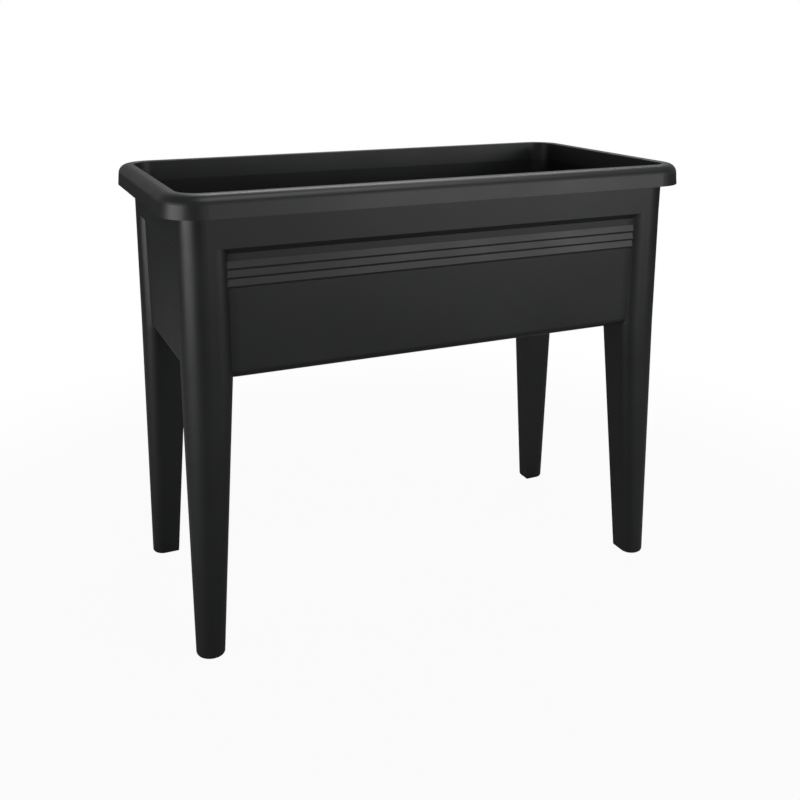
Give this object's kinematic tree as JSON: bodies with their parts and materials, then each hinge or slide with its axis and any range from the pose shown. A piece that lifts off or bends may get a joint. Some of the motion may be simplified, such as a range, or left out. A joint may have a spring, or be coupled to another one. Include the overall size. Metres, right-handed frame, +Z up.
{
  "type": "raised garden bed",
  "caption": "Raised garden bed: a moulded rectangular trough with a rolled rim and recessed reeded panels on tapered plug-in legs, with a lift-out soil grid and drain plugs.",
  "frame": {"origin": "on the ground, under the middle of the trough", "axes": "+X along the length to the right as seen from the front, +Y from front to rear, +Z up"},
  "size_m": [0.8, 0.4054, 0.6435],
  "materials": {
    "tub_plastic": "satin, as moulded",
    "leg_plastic": "satin, as moulded",
    "grid_plastic": "matt, as moulded",
    "plug_plastic": "matt, as moulded",
    "seal_rubber": "matt"
  },
  "bodies": {
    "bed": {"tub": "tub_plastic", "leg_front_left": "leg_plastic", "leg_front_right": "leg_plastic", "leg_rear_left": "leg_plastic", "leg_rear_right": "leg_plastic"},
    "grid": {"soil_grid": "grid_plastic"},
    "plug_left": {"drain_plug_left": "plug_plastic", "plug_seal_left": "seal_rubber"},
    "plug_right": {"drain_plug_right": "plug_plastic", "plug_seal_right": "seal_rubber"}
  },
  "joints": [
    {"name": "grid_lift", "type": "slide", "parent": "bed", "child": "grid", "axis": [0, 0, 1], "range_m": [0, 0.26]},
    {"name": "plug_left_pull", "type": "slide", "parent": "bed", "child": "plug_left", "axis": [0, 0, -1], "range_m": [0, 0.045]},
    {"name": "plug_right_pull", "type": "slide", "parent": "bed", "child": "plug_right", "axis": [0, 0, -1], "range_m": [0, 0.045]}
  ]
}
